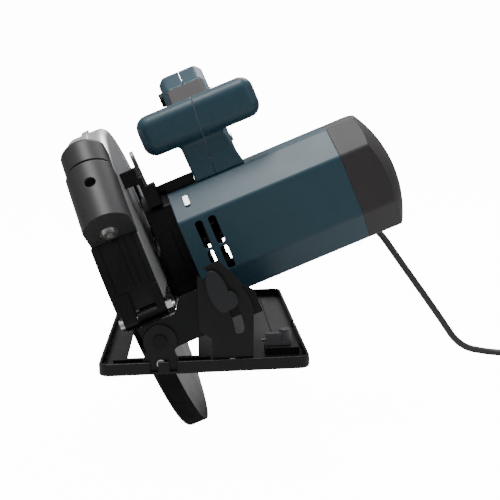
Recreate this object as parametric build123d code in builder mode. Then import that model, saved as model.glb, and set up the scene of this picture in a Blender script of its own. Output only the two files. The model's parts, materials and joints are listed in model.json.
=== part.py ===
from build123d import *
from math import acos, asin, cos, degrees, pi, radians, sin, sqrt, tan
import os

# A corded circular saw with a 235 mm blade, in millimetres. +X runs from the blade side to the motor side,
# +Y to the rear and +Z up. The origin is the centre of the sole rectangle, on the sole.
#
# Everything that tilts is drawn square, in the head's own coordinates: x along the spindle from the bevel
# pivot, y as in the assembly, z away from the sole. HEAD then tips it to the stored bevel.

# ---- driving dimensions: the shoe -------------------------------------------------------------------------
SHOE_W, SHOE_L = 151.0, 310.0
SHEET = 2.0                     # the shoe's steel
RIM_H = 9.2                     # height of the turned-up rim over the sole
OPENING_X = (-58.0, -4.3)       # the blade opening, left and right
OPENING_Y = (-118.0, 131.0)

# ---- driving dimensions: bevel ----------------------------------------------------------------------------
BEVEL = 20.6                    # degrees, as stored; 0 is square
PIVOT_X, PIVOT_Z = -31.0, 23.0  # the bevel pivot, seen from the front
PLATE = 2.5                     # steel of the brackets
FRONT_BRACKET_Y = -148.5        # rear face of the front bracket and of the quadrant
REAR_BRACKET_Y = 148.8          # front face of the rear bracket
PIVOT_PIN_R = 3.0
RUN = 0.05                      # radial running clearance
CLAMP_BOLT = (56.7, 9.5)        # the bevel clamp's bolt, in the head's x and z
QUADRANT_R = 71.0

# ---- driving dimensions: the head -------------------------------------------------------------------------
ARBOR = (6.0, 26.0)             # the spindle's y and z
HINGE = (-128.5, 17.5)          # the depth hinge's y and z
UPPER_R, LOWER_R, BLADE_R = 130.4, 126.6, 117.5
UPPER_X = (-23.0, 13.0)         # the upper guard's faces
LOWER_X = (-19.5, -3.0)         # the lower guard's faces
LOWER_ROUND = 4.0               # the round of its outer edge
BLADE_X, KERF = -8.0, 2.4
GUARD_WALL = 1.8
DEPTH_BOLT_R, DEPTH_BOLT_ANGLE = 262.0, 4.0  # the depth clamp, about the depth hinge
DEPTH_RANGE = 18.0

# ---- driving dimensions: the drive ------------------------------------------------------------------------
MODULE, GEAR_TEETH, PINION_TEETH = 1.1, 40, 8
MOTOR = (-16.0, 40.6)           # the armature's y and z
MOTOR_X = (40.0, 176.0)         # the housing's ends
MOTOR_HALF_Y, MOTOR_HALF_Z, MOTOR_CHAMFER = 48.0, 46.9, 22.6
HOUSING_WALL = 3.0
CAP_END, CAP_SPHERE_R = 218.0, 95.0

# ---- driving dimensions: the handles ----------------------------------------------------------------------
SEAM = 85.0                     # the plane where the handle halves meet
HANDLE_HALF = 20.0
HANDLE_WALL = 3.6
BAR_X, BAR_Z, BAR_Y = (37.5, 135.5), (118.5, 151.5), (-50.0, -16.0)
BAR_WALL = 5.0

# ---- driving dimensions: the mains lead -------------------------------------------------------------------
CORD_R = 3.4
COIL_R, COIL_H, COIL_BAND = 40.0, 21.0, 21.0

HEAD = Location((PIVOT_X, 0, PIVOT_Z), (0, -BEVEL, 0))
LOWEST = (PIVOT_Z + (LOWER_X[0] + LOWER_ROUND) * sin(radians(BEVEL)) - LOWER_ROUND
          + (ARBOR[1] - LOWER_R + LOWER_ROUND) * cos(radians(BEVEL)))
FLOOR = LOWEST + 0.4            # the lead lies at the level of the guard's lowest point


def side(x):
    """The plane across the spindle at x, drawn in y and z."""
    return Plane.YZ.offset(x)


def front(y):
    """The upright plane at y, drawn in x and z. Extrusions come forward."""
    return Plane.XZ.offset(-y)


def disc(x, length, radius, centre=ARBOR, mode=Mode.ADD):
    """Round stock parallel to the spindle, from x towards the motor."""
    with BuildSketch(side(x)) as face:
        with Locations(centre):
            Circle(radius)
    extrude(face.sketch, amount=length, mode=mode)


def ring(x, length, outer, inner, centre=ARBOR):
    """A tube parallel to the spindle."""
    with BuildSketch(side(x)) as face:
        with Locations(centre):
            Circle(outer)
            Circle(inner, mode=Mode.SUBTRACT)
    extrude(face.sketch, amount=length)


def slab(x, length, points, mode=Mode.ADD):
    """A plate across the spindle with a straight-sided outline in y and z."""
    with BuildSketch(side(x)) as face:
        Polygon(*points, align=None)
    extrude(face.sketch, amount=length, mode=mode)


def plate(y, thickness, points, mode=Mode.ADD):
    """An upright plate with a straight-sided outline in x and z, coming forward from y."""
    with BuildSketch(front(y)) as face:
        Polygon(*points, align=None)
    extrude(face.sketch, amount=thickness, mode=mode)


def stud(y, length, radius, centre, mode=Mode.ADD):
    """Round stock along y, coming forward from y."""
    with BuildSketch(front(y)) as face:
        with Locations(centre):
            Circle(radius)
    extrude(face.sketch, amount=length, mode=mode)


def block(x, y, z, mode=Mode.ADD):
    """A box between pairs of limits."""
    with Locations(((x[0] + x[1]) / 2, (y[0] + y[1]) / 2, (z[0] + z[1]) / 2)):
        Box(x[1] - x[0], y[1] - y[0], z[1] - z[0], mode=mode)


def polar(radius, angle, centre=ARBOR):
    """The y and z at a radius and an angle about a centre. Angle 0 points forward, 90 up, 180 back."""
    return (centre[0] - radius * cos(radians(angle)), centre[1] + radius * sin(radians(angle)))


def save(part, node, place=Location()):
    """Label a finished piece and write it where it stands in the assembly."""
    piece = part.moved(place)
    piece.label = node
    export_step(piece, f"parts/{node}.step")


os.makedirs("parts", exist_ok=True)

# ==== the shoe and what is fixed to it =====================================================================

# The shoe: a pressed steel tray with a turned-up rim, a blade opening, a bead in front of the opening, a
# pressed rib, sight notches at the front and a slot for a rip fence in the right rim.
with BuildPart() as shoe:
    with BuildSketch():
        RectangleRounded(SHOE_W, SHOE_L, 8)
    extrude(amount=RIM_H)
    fillet(shoe.edges().group_by(Axis.Z)[0], 2.4)
    fillet(shoe.edges().group_by(Axis.Z)[-1], 0.7)
    with BuildSketch(Plane.XY.offset(SHEET)):
        RectangleRounded(SHOE_W - 2 * SHEET, SHOE_L - 2 * SHEET, 6.2)
    extrude(amount=RIM_H, mode=Mode.SUBTRACT)
    with BuildSketch():
        with Locations((sum(OPENING_X) / 2, sum(OPENING_Y) / 2)):
            RectangleRounded(OPENING_X[1] - OPENING_X[0], OPENING_Y[1] - OPENING_Y[0], 4)
    extrude(amount=RIM_H, mode=Mode.SUBTRACT)
    with BuildSketch(Plane.XY.offset(SHEET)):
        with Locations((sum(OPENING_X) / 2, OPENING_Y[0] - 3.4)):
            SlotOverall(OPENING_X[1] - OPENING_X[0] + 18, 5.6)
    extrude(amount=3.4)
    with BuildSketch(Plane.XY.offset(SHEET)):
        with Locations((58, 36)):
            SlotOverall(190, 5, rotation=90)
    extrude(amount=1.2)
    for notch_x in (-35.9, -22.1):
        block((notch_x - 2.9, notch_x + 2.9), (-SHOE_L / 2 - 1, -SHOE_L / 2 + 4), (SHEET, RIM_H + 1),
              Mode.SUBTRACT)
    block((SHOE_W / 2 - 4, SHOE_W / 2 + 1), (-25, -14), (3.4, RIM_H + 1), Mode.SUBTRACT)
    block((SHOE_W / 2 - 3, SHOE_W / 2 + 1), (-114, -92), (SHEET + 0.2, 5.6), Mode.SUBTRACT)

save(shoe.part, "shoe")


def bracket_lobe(y, outline):
    """An upright trapezium that rises to a round lobe about the bevel pivot, with the pivot's hole."""
    plate(y, PLATE, outline)
    stud(y, PLATE, 12, (PIVOT_X, PIVOT_Z))
    stud(y + 1, PLATE + 2, PIVOT_PIN_R + RUN, (PIVOT_X, PIVOT_Z), Mode.SUBTRACT)


BRACKET_OUTLINE = [(-46, SHEET), (-16.5, SHEET), (-16.5, 5), (-21, 16.5), (-41, 16.5), (-46, 5)]

# The front bracket: pressed steel, with a foot that runs back over the shoe.
with BuildPart() as front_bracket:
    bracket_lobe(FRONT_BRACKET_Y, BRACKET_OUTLINE)
    block((-46, -16.5), (FRONT_BRACKET_Y, -129), (SHEET, SHEET + PLATE))

save(front_bracket.part, "front_bracket")

# The rear bracket, the same pressing turned round.
with BuildPart() as rear_bracket:
    bracket_lobe(REAR_BRACKET_Y + PLATE, BRACKET_OUTLINE)
    block((-46, -16.5), (132, REAR_BRACKET_Y), (SHEET, SHEET + PLATE))

save(rear_bracket.part, "rear_bracket")

# The bevel quadrant: an upright plate with an arc slot about the bevel pivot.
QUADRANT_X = (6.0, 34.8)
BOLT_R = sqrt(CLAMP_BOLT[0] ** 2 + CLAMP_BOLT[1] ** 2)
BOLT_ANGLE = degrees(asin(CLAMP_BOLT[1] / BOLT_R))  # the bolt's bearing from the pivot at square
SLOT_HALF = 3.4


def about_pivot(radius, angle):
    """The x and z at a radius and a bearing from the bevel pivot."""
    return (PIVOT_X + radius * cos(radians(angle)), PIVOT_Z + radius * sin(radians(angle)))


with BuildPart() as bevel_quadrant:
    with BuildSketch(front(FRONT_BRACKET_Y)) as outline:
        with BuildLine():
            foot = Polyline((-3, 30), (QUADRANT_X[0], 24), (QUADRANT_X[0], SHEET), (QUADRANT_X[1], SHEET),
                            about_pivot(QUADRANT_R, 18))
            arc = ThreePointArc(foot @ 1, about_pivot(QUADRANT_R, 35), about_pivot(QUADRANT_R, 53))
            Polyline(arc @ 1, (-1.5, 74), (-3, 70), foot @ 0)
        make_face()
    extrude(outline.sketch, amount=PLATE)
    with BuildSketch(front(FRONT_BRACKET_Y + 1)) as slot:
        with BuildLine():
            path = CenterArc((PIVOT_X, PIVOT_Z), BOLT_R, BOLT_ANGLE - 3, 45 + 5.5)
        SlotArc(path, 2 * SLOT_HALF)
    extrude(slot.sketch, amount=PLATE + 2, mode=Mode.SUBTRACT)
    block(QUADRANT_X, (FRONT_BRACKET_Y, -131), (SHEET, SHEET + PLATE))

save(bevel_quadrant.part, "bevel_quadrant")

# Pan-head screws that hold the brackets' feet to the shoe, with one in the front bracket's face.
SHOE_SCREWS = [(-38, -137), (-24, -137), (12, -139), (28, -139), (-38, 140), (-24, 140)]
with BuildPart() as shoe_screws:
    with BuildSketch(Plane.XY.offset(SHEET + PLATE)):
        with Locations(*SHOE_SCREWS):
            Circle(3.4)
    extrude(amount=2.0)
    fillet(shoe_screws.edges().group_by(Axis.Z)[-1], 0.9)
    with BuildSketch(Plane.XY.offset(SHEET + PLATE + 1.1)):
        with Locations(*SHOE_SCREWS):
            Rectangle(4.6, 0.9)
            Rectangle(0.9, 4.6)
    extrude(amount=2, mode=Mode.SUBTRACT)
    stud(FRONT_BRACKET_Y - PLATE, 1.8, 3.0, (PIVOT_X, 7.6))
    with Locations((20, -1 + FRONT_BRACKET_Y - PLATE, 7.4)):
        Box(4, 2, 4)

save(shoe_screws.part, "shoe_screws")

# The rip-fence clamp: a bracket over the fence slot, and the wing screw that turns in it.
CLAMP = (61.5, -103.0)
with BuildPart() as guide_clamp_base:
    block((46, 71), (-114, -92), (SHEET, 7.5))
    block((45, 72), (-111.5, -94.5), (SHEET - 1, 5.6), Mode.SUBTRACT)
    with Locations((*CLAMP, 6.5)):
        Cylinder(2.55, 4, mode=Mode.SUBTRACT)

save(guide_clamp_base.part, "guide_clamp_base")

with BuildPart() as guide_clamp_knob:
    with BuildSketch(Plane.XY.offset(7.8)):
        with Locations(CLAMP):
            Circle(4.3)
    extrude(amount=12.2)
    fillet(guide_clamp_knob.edges().group_by(Axis.Z)[-1], 0.8)
    with BuildSketch(Plane.XY.offset(5.7)):
        with Locations(CLAMP):
            Circle(2.5)
    extrude(amount=3)
    block((46.8, 58.5), (-106.5, -101.5), (7.8, 17))
    with Locations(Location((45.4, -104, 11.8), (0, 90, 0))):
        Cylinder(1.1, 4)

save(guide_clamp_knob.part, "guide_clamp_knob")

# ==== what tilts with the head but does not lift ===========================================================


def about_hinge(radius, angle):
    """The y and z at a radius and an angle about the depth hinge. Angle 0 points back, 90 up."""
    return (HINGE[0] + radius * cos(radians(angle)), HINGE[1] + radius * sin(radians(angle)))


# The front tilt plate turns on the bevel pivot behind the front bracket and carries the depth hinge.
TILT_PLATE_Y = -145.2
with BuildPart() as front_tilt_plate:
    plate(TILT_PLATE_Y, 3, [(-11.4, 14), (-11, 0), (-8, -7), (-2, -10.5), (6, -9.5), (11, -8.3), (76, -8.3),
                            (76, 8), (62, 24), (25, 24), (17, 14)])
    plate(TILT_PLATE_Y + 1, 5, [(53, -9), (63, -9), (63, -4.5), (53, -4.5)], Mode.SUBTRACT)
    block((-9.7, 6.2), (TILT_PLATE_Y, HINGE[0]), (8, 14))
    disc(-9.7, 15.9, 5.5, HINGE)
    disc(-10, 17, PIVOT_PIN_R + 0.02, HINGE, Mode.SUBTRACT)
    stud(TILT_PLATE_Y + 1, 5, PIVOT_PIN_R + 0.02, (0, 0), Mode.SUBTRACT)
    stud(TILT_PLATE_Y + 1, 5, PIVOT_PIN_R + 0.02, CLAMP_BOLT, Mode.SUBTRACT)

save(front_tilt_plate.part, "front_tilt_plate", HEAD)

# The rear tilt plate, with a forward ear that holds the depth guide.
with BuildPart() as rear_tilt_plate:
    plate(REAR_BRACKET_Y - 0.3, 3, [(-12, 12), (-10, -7), (-3, -11), (14, -9), (22, -4), (22, 20), (-4, 20)])
    stud(REAR_BRACKET_Y + 1, 5, PIVOT_PIN_R + 0.02, (0, 0), Mode.SUBTRACT)
    block((18.3, 21), (127, REAR_BRACKET_Y - 0.3), (-3, 14))

save(rear_tilt_plate.part, "rear_tilt_plate", HEAD)

# The rivets that the two tilt plates turn on, each headed on both sides.
RIVET_HEAD_R = 5.0
with BuildPart() as pivot_rivets:
    for inner_y, outer_y, inner_head, outer_head in (
            (TILT_PLATE_Y, FRONT_BRACKET_Y - PLATE - 0.3, 1.6, -2.2),
            (REAR_BRACKET_Y - 3.3, REAR_BRACKET_Y + PLATE + 0.3, -1.6, 2.2)):
        stud(max(inner_y, outer_y), abs(outer_y - inner_y), PIVOT_PIN_R, (0, 0))
        stud(inner_y + max(inner_head, 0), abs(inner_head), RIVET_HEAD_R, (0, 0))
        stud(outer_y + max(outer_head, 0), abs(outer_head), RIVET_HEAD_R, (0, 0))

save(pivot_rivets.part, "pivot_rivets", HEAD)

with BuildPart() as depth_hinge_pin:
    disc(-24, 43, PIVOT_PIN_R, HINGE)
    disc(-24, 3.2, 4.8, HINGE)
    with BuildSketch(side(12.8)):
        with Locations(HINGE):
            RegularPolygon(5.4, 6)
            Circle(PIVOT_PIN_R, mode=Mode.SUBTRACT)
    extrude(amount=4.5)

save(depth_hinge_pin.part, "depth_hinge_pin", HEAD)

# The bolt that the bevel clamp's lever draws up, through the quadrant's slot.
LEVER_Y = FRONT_BRACKET_Y - PLATE - 0.3
with BuildPart() as bevel_clamp_bolt:
    stud(TILT_PLATE_Y, 156.0 + TILT_PLATE_Y, PIVOT_PIN_R, CLAMP_BOLT)
    with BuildSketch(front(TILT_PLATE_Y + 3.2)):
        with Locations(CLAMP_BOLT):
            RegularPolygon(5.6, 6)
    extrude(amount=3.2)

save(bevel_clamp_bolt.part, "bevel_clamp_bolt", HEAD)

# The depth guide: an arc bar about the depth hinge, with the depth clamp's slot.
GUIDE_X, GUIDE_T = 15.0, 3.3
with BuildPart() as depth_guide:
    with BuildSketch(side(GUIDE_X)) as bar:
        with BuildLine():
            bar_path = CenterArc(HINGE, DEPTH_BOLT_R, -2, 25)
        SlotArc(bar_path, 14)
    extrude(bar.sketch, amount=GUIDE_T)
    with BuildSketch(side(GUIDE_X - 1)) as slot:
        with BuildLine():
            slot_path = CenterArc(HINGE, DEPTH_BOLT_R, DEPTH_BOLT_ANGLE - 0.6, DEPTH_RANGE + 1)
        SlotArc(slot_path, 6.7)
    extrude(slot.sketch, amount=GUIDE_T + 2, mode=Mode.SUBTRACT)

save(depth_guide.part, "depth_guide", HEAD)

# The bevel clamp's lever: a hub on the bolt and an oval wing.
with BuildPart() as bevel_lever:
    stud(LEVER_Y, 6.4, 6.5, CLAMP_BOLT)
    with BuildSketch(front(LEVER_Y)) as wing:
        with Locations((CLAMP_BOLT[0] - 4.5, CLAMP_BOLT[1] + 8.5)):
            Ellipse(7, 15.8)
    extrude(wing.sketch, amount=6.4)
    stud(LEVER_Y + 1, 5.9, PIVOT_PIN_R + RUN, CLAMP_BOLT, Mode.SUBTRACT)

save(bevel_lever.part, "bevel_lever", HEAD)

# ==== the head: guards and hood ============================================================================


DEPTH_BOLT = about_hinge(DEPTH_BOLT_R, DEPTH_BOLT_ANGLE)
UPPER_CUT = 24.0
GAP = 0.3

# The upper guard: a half-drum, open below, with a rib on its crown and the depth clamp's boss behind.
with BuildPart() as guard_core:
    disc(UPPER_X[0] + GUARD_WALL, UPPER_X[1] - UPPER_X[0] - 2 * GUARD_WALL, UPPER_R - GUARD_WALL)
    fillet(guard_core.edges().group_by(Axis.X)[0], 7.2)
    fillet(guard_core.edges().group_by(Axis.X)[-1], 5.2)

with BuildPart() as upper_guard:
    disc(UPPER_X[0], UPPER_X[1] - UPPER_X[0], UPPER_R)
    fillet(upper_guard.edges().group_by(Axis.X)[0], 9)
    fillet(upper_guard.edges().group_by(Axis.X)[-1], 7)
    slab(6, GUIDE_X - GAP - 6, [(120, 29), (136, 29), (139, 34), (136, 42), (118, 42)])
    add(guard_core.part, mode=Mode.SUBTRACT)
    slab(UPPER_X[0] - 1, 40, [(-160, -120), (160, -120), (160, UPPER_CUT), (-160, UPPER_CUT)], Mode.SUBTRACT)
    disc(UPPER_X[0] - 1, 10, 34, ARBOR, Mode.SUBTRACT)
    disc(UPPER_X[1] - 5, 10, 27.5, ARBOR, Mode.SUBTRACT)
    disc(5, 12, PIVOT_PIN_R + 0.02, DEPTH_BOLT, Mode.SUBTRACT)
    with BuildSketch(side(-6)) as rib:
        with Locations(ARBOR):
            Circle(UPPER_R + 2.2)
            Circle(UPPER_R - 0.5, mode=Mode.SUBTRACT)
        Polygon(ARBOR, polar(200, 66), polar(200, 92), align=None, mode=Mode.INTERSECT)
    extrude(rib.sketch, amount=4.4)

save(upper_guard.part, "upper_guard", HEAD)

# The casting bolted round the guard's lower front: upright grooves, and the depth hinge's two lugs below.
FRONT_CASTING_X = (-23.6, 12.8)
CASTING_TOP = [(-90, 55), (-95.9, 59.9), (-126.5, 85.6)]  # along the nozzle's lower end
with BuildPart() as guard_front_shell:
    with BuildSketch(side(FRONT_CASTING_X[0])) as shell:
        with Locations(ARBOR):
            Circle(UPPER_R + 2.6)
            Circle(UPPER_R + 0.02, mode=Mode.SUBTRACT)
        Polygon((-160, UPPER_CUT + 0.2), (-90, UPPER_CUT + 0.2), *CASTING_TOP, (-160, 100), align=None,
                mode=Mode.INTERSECT)
    extrude(shell.sketch, amount=FRONT_CASTING_X[1] - FRONT_CASTING_X[0])
    for x, width in ((-20.5, 10.2), (6.5, 6.0)):
        disc(x, width, 5.5, HINGE)
        slab(x, width, [(-134, 17.5), (-130, 38), (-125, 38), (-124.3, 17.5)])
        disc(x - 1, width + 2, PIVOT_PIN_R + RUN, HINGE, Mode.SUBTRACT)
    disc(FRONT_CASTING_X[0] - 1, 40, UPPER_R + 0.02, ARBOR, Mode.SUBTRACT)
    for x in (-18, -3.4, 1.6, 8):
        with BuildSketch(side(x)) as groove:
            with Locations(ARBOR):
                Circle(UPPER_R + 4)
                Circle(UPPER_R + 1.5, mode=Mode.SUBTRACT)
            Polygon((-160, 41), (-90, 41), (-90, 76), (-160, 76), align=None, mode=Mode.INTERSECT)
        extrude(groove.sketch, amount=1.4, mode=Mode.SUBTRACT)

save(guard_front_shell.part, "guard_front_shell", HEAD)


# The sawdust nozzle: a moulded barrel that leans back along the guard, with an arched section, a neck and a
# lower collar above it, and two bosses for its screws. In the nozzle's own coordinates x runs along the
# spindle, y out from the spindle and z up the barrel, which leans back by NOZZLE_LEAN.
NOZZLE_LEAN = 40.0
NOZZLE_MIDDLE = -4.5
NOZZLE_HALF = 18.0
NOZZLE_WALL = 2.6
NOZZLE = Location((NOZZLE_MIDDLE, *ARBOR), (-NOZZLE_LEAN, 0, 180))


def barrel(start, end, inset, crown, shoulder, foot=96.0, mode=Mode.ADD):
    """A length of the barrel: straight walls up to the shoulder and an arch up to the crown."""
    half = NOZZLE_HALF - inset
    with BuildSketch(Plane.XY.offset(start)) as section:
        with BuildLine():
            Polyline((-half, shoulder), (-half, foot), (half, foot), (half, shoulder))
            ThreePointArc((half, shoulder), (0, crown), (-half, shoulder))
        make_face()
    extrude(section.sketch, amount=end - start, mode=mode)


NOZZLE_END, NOZZLE_TOP = -39.3, 11.6
END_SCREW, FACE_SCREW = (1.0, 136.0), (-0.8, -7.6)  # x and y on the end face; x and z on the crown
END_HEAD_R, FACE_HEAD_R = 7.2, 4.2
FACE_SEAT = 147.0

with BuildPart() as nozzle_shell:
    barrel(NOZZLE_END, NOZZLE_TOP, 0, 159.6, 146.4)
    barrel(NOZZLE_TOP, NOZZLE_TOP + 4, 2.0, 153.6, 142.0)
    barrel(NOZZLE_TOP + 4, 38, 1.0, 156.4, 144.6)
    fillet(nozzle_shell.edges().group_by(Axis.Z)[-1].sort_by(Axis.Y)[-1], 5)
    barrel(NOZZLE_END + NOZZLE_WALL, NOZZLE_TOP - NOZZLE_WALL, NOZZLE_WALL, 157.0, 145.0, mode=Mode.SUBTRACT)
    barrel(NOZZLE_TOP - NOZZLE_WALL, 38 - NOZZLE_WALL, 4.6, 150.4, 139.0, mode=Mode.SUBTRACT)
    with Locations((END_SCREW[0], END_SCREW[1], NOZZLE_END)):
        Cylinder(END_HEAD_R + 2, 8, align=(Align.CENTER, Align.CENTER, Align.MIN))
    with Locations(Location((FACE_SCREW[0], 118, FACE_SCREW[1]), (-90, 0, 0))):
        Cylinder(FACE_HEAD_R + 2.4, 40, align=(Align.CENTER, Align.CENTER, Align.MIN))
    with Locations((END_SCREW[0], END_SCREW[1], NOZZLE_END - 1)):
        Cylinder(END_HEAD_R + 0.02, 2.6, align=(Align.CENTER, Align.CENTER, Align.MIN), mode=Mode.SUBTRACT)
    with Locations(Location((FACE_SCREW[0], FACE_SEAT, FACE_SCREW[1]), (-90, 0, 0))):
        Cylinder(FACE_HEAD_R + 0.02, 20, align=(Align.CENTER, Align.CENTER, Align.MIN), mode=Mode.SUBTRACT)

with BuildPart() as front_hood:
    add(nozzle_shell.part.moved(NOZZLE))
    disc(-60, 120, UPPER_R + 0.02, ARBOR, Mode.SUBTRACT)

save(front_hood.part, "front_hood", HEAD)

# The socket-head screws that hold the nozzle, one in its end face and one sunk in its crown.
with BuildPart() as nozzle_screws:
    with Locations((END_SCREW[0], END_SCREW[1], NOZZLE_END + 0.4)):
        Cylinder(END_HEAD_R, 1.2, align=(Align.CENTER, Align.CENTER, Align.MIN))
        Cylinder(END_HEAD_R - 2.6, 2.6, align=(Align.CENTER, Align.CENTER, Align.MAX))
        Cylinder(2.5, 2.6, align=(Align.CENTER, Align.CENTER, Align.MAX), mode=Mode.SUBTRACT)
    with Locations(Location((FACE_SCREW[0], FACE_SEAT, FACE_SCREW[1]), (-90, 0, 0))):
        Cylinder(FACE_HEAD_R, 3.5, align=(Align.CENTER, Align.CENTER, Align.MIN))
        with Locations((0, 0, 2)):
            Box(5.6, 1.0, 2, align=(Align.CENTER, Align.CENTER, Align.MIN), mode=Mode.SUBTRACT)
            Box(1.0, 5.6, 2, align=(Align.CENTER, Align.CENTER, Align.MIN), mode=Mode.SUBTRACT)

save(nozzle_screws.part.moved(NOZZLE), "hood_screws", HEAD)

# ==== the head: gear case ==================================================================================

# The gear case: a cast box with a nose through the guard, a cavity for the reduction gears, seats for the
# spindle's bearings, a ridge where its halves meet, and two posts and a stepped bracket that hold the guard.
CASE_X = (18.5, 40.0)
CASE_OUTLINE = [(-45, 2.5), (-37, -5.5), (28, -5.5), (36, 2.5), (36, 91), (-30, 91), (-45, 80)]
POSTS = [(30, 58), (30, 84)]
CASE_BRACKET = [(UPPER_X[1] + 0.02, 105), (UPPER_X[1] + 0.02, 117.5), (25, 117.5), (25, 109), (27.6, 109),
                (27.6, 101), (34.4, 101), (34.4, 84), (24, 84), (24, 105)]
LOCK_Z = ARBOR[1]
with BuildPart() as gear_case:
    slab(CASE_X[0], CASE_X[1] - CASE_X[0], CASE_OUTLINE)
    fillet(gear_case.edges().filter_by(Axis.X), 3)
    disc(-1, CASE_X[0] + 1, 22)
    for post in POSTS:
        disc(UPPER_X[1], CASE_X[0] - UPPER_X[1], 5, post)
    plate(-34.3, 25.7, CASE_BRACKET)
    block((31.4, 32.2), (-45.7, -40), (8, 66))
    disc(22, 12.5, 25, ARBOR, Mode.SUBTRACT)
    disc(22, 12.5, 9, MOTOR, Mode.SUBTRACT)
    disc(34, 8, 8, MOTOR, Mode.SUBTRACT)
    disc(1, 11, 14.02, ARBOR, Mode.SUBTRACT)
    disc(12, 10.5, 9, ARBOR, Mode.SUBTRACT)
    disc(34, 4.5, 9.02, ARBOR, Mode.SUBTRACT)
    disc(-2, 4, 8, ARBOR, Mode.SUBTRACT)
    stud(40, 12, 3.05, (28.5, LOCK_Z), Mode.SUBTRACT)

save(gear_case.part, "gear_case", HEAD)

# The spindle's two bearings, as plain rings.
with BuildPart() as spindle_bearings:
    ring(1, 11, 14, 6.05)
    ring(34.2, 4.3, 9, 6.05)

save(spindle_bearings.part, "spindle_bearings", HEAD)

with BuildPart() as spindle_lock:
    stud(38.5, 7, 3, (28.5, LOCK_Z))
    stud(43, 4.5, 6, (28.5, LOCK_Z))
    fillet(spindle_lock.edges().group_by(Axis.Y)[-1], 1)

save(spindle_lock.part, "spindle_lock", HEAD)

# ==== the head: motor ======================================================================================


def octagon(inset=0.0):
    """The motor housing's outline in y and z, drawn in by a wall."""
    half_y, half_z = MOTOR_HALF_Y - inset, MOTOR_HALF_Z - inset
    cut = MOTOR_CHAMFER - inset * (2 - sqrt(2))
    corners = [(half_y, half_z - cut), (half_y - cut, half_z)]
    quarter = corners + [(-y, z) for y, z in reversed(corners)]
    return [(MOTOR[0] + y, MOTOR[1] + z) for y, z in quarter + [(-y, -z) for y, z in quarter]]


CORE_X = (82.0, 132.0)
CORE_R = 43.8
VENT_W = 6.2
VENTS = [(55.0, 49.5, 23.0), (55.0, 26.5, 19.0), (66.0, 49.5, 23.0), (66.0, 26.5, 19.0)]  # x, z and height
VENT_FACES = [(MOTOR[0] - MOTOR_HALF_Y + 8, 0), (MOTOR[0] + MOTOR_HALF_Y + 8, -26)]       # y and rise
with BuildPart() as motor_housing:
    slab(MOTOR_X[0], MOTOR_X[1] - MOTOR_X[0], octagon())
    fillet(motor_housing.edges().filter_by(Axis.X), 5)
    slab(MOTOR_X[0] + 4, MOTOR_X[1] - MOTOR_X[0], octagon(HOUSING_WALL), Mode.SUBTRACT)
    disc(MOTOR_X[0] + 4, 8, 16, MOTOR)
    disc(MOTOR_X[0] - 1, 4.5, 8, MOTOR, Mode.SUBTRACT)
    disc(MOTOR_X[0] + 3.5, 12, 13.02, MOTOR, Mode.SUBTRACT)
    for rib_x in (CORE_X[0] + 2, CORE_X[1] - 8):
        with BuildSketch(side(rib_x)) as rib:
            Polygon(*octagon(HOUSING_WALL - 0.5), align=None)
            with Locations(MOTOR):
                Circle(CORE_R + 0.02, mode=Mode.SUBTRACT)
        extrude(rib.sketch, amount=6)
    for vent_y, rise in VENT_FACES:
        with BuildSketch(front(vent_y)) as vents:
            for vent_x, vent_z, height in VENTS:
                with Locations((vent_x, vent_z + rise)):
                    RectangleRounded(VENT_W, height, 2.4)
        extrude(vents.sketch, amount=16, mode=Mode.SUBTRACT)

save(motor_housing.part, "motor_housing", HEAD)

# The end cap: the same octagon, closed by a shallow dome, with the rear bearing's seat inside.
CAP_CENTRE = (123.0, -16.0, 36.0)
with BuildPart() as end_cap:
    slab(MOTOR_X[1], CAP_END - MOTOR_X[1], octagon())
    fillet(end_cap.edges().filter_by(Axis.X), 5)
    with Locations(CAP_CENTRE):
        Sphere(CAP_SPHERE_R, mode=Mode.INTERSECT)
    with BuildPart(mode=Mode.PRIVATE) as cap_core:
        slab(MOTOR_X[1] - 1, CAP_END - MOTOR_X[1], octagon(HOUSING_WALL))
        with Locations(CAP_CENTRE):
            Sphere(CAP_SPHERE_R - HOUSING_WALL, mode=Mode.INTERSECT)
    add(cap_core.part, mode=Mode.SUBTRACT)
    disc(185, 29, 14, MOTOR)
    disc(180, 12.5, 11.02, MOTOR, Mode.SUBTRACT)

save(end_cap.part, "end_cap", HEAD)

# A spring clip on the housing's upper front slope.
CLIP_Y = MOTOR[0] - MOTOR_HALF_Y
with BuildPart() as housing_clip:
    slope = Plane(origin=(52.6, CLIP_Y + MOTOR_CHAMFER / 2, MOTOR[1] + MOTOR_HALF_Z - MOTOR_CHAMFER / 2),
                  x_dir=(1, 0, 0), z_dir=(0, -1, 1))
    with BuildSketch(slope.offset(0.02)) as clip:
        with Locations((0, 2)):
            RectangleRounded(4.4, 10, 1.2)
    extrude(clip.sketch, amount=1.4)

save(housing_clip.part, "housing_clip", HEAD)

# The field: a laminated ring with two pole shoes, and its two coils.
with BuildPart() as field_core:
    ring(CORE_X[0], CORE_X[1] - CORE_X[0], CORE_R, 36, MOTOR)
    with BuildSketch(side(CORE_X[0])) as poles:
        with Locations(MOTOR):
            Circle(36.5)
            Circle(25.5, mode=Mode.SUBTRACT)
            Polygon((0, 0), (30, 45), (-30, 45), align=None, mode=Mode.INTERSECT)
    extrude(poles.sketch, amount=CORE_X[1] - CORE_X[0])
    with BuildSketch(side(CORE_X[0])) as lower_poles:
        with Locations(MOTOR):
            Circle(36.5)
            Circle(25.5, mode=Mode.SUBTRACT)
            Polygon((0, 0), (30, -45), (-30, -45), align=None, mode=Mode.INTERSECT)
    extrude(lower_poles.sketch, amount=CORE_X[1] - CORE_X[0])

save(field_core.part, "field_core", HEAD)

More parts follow.
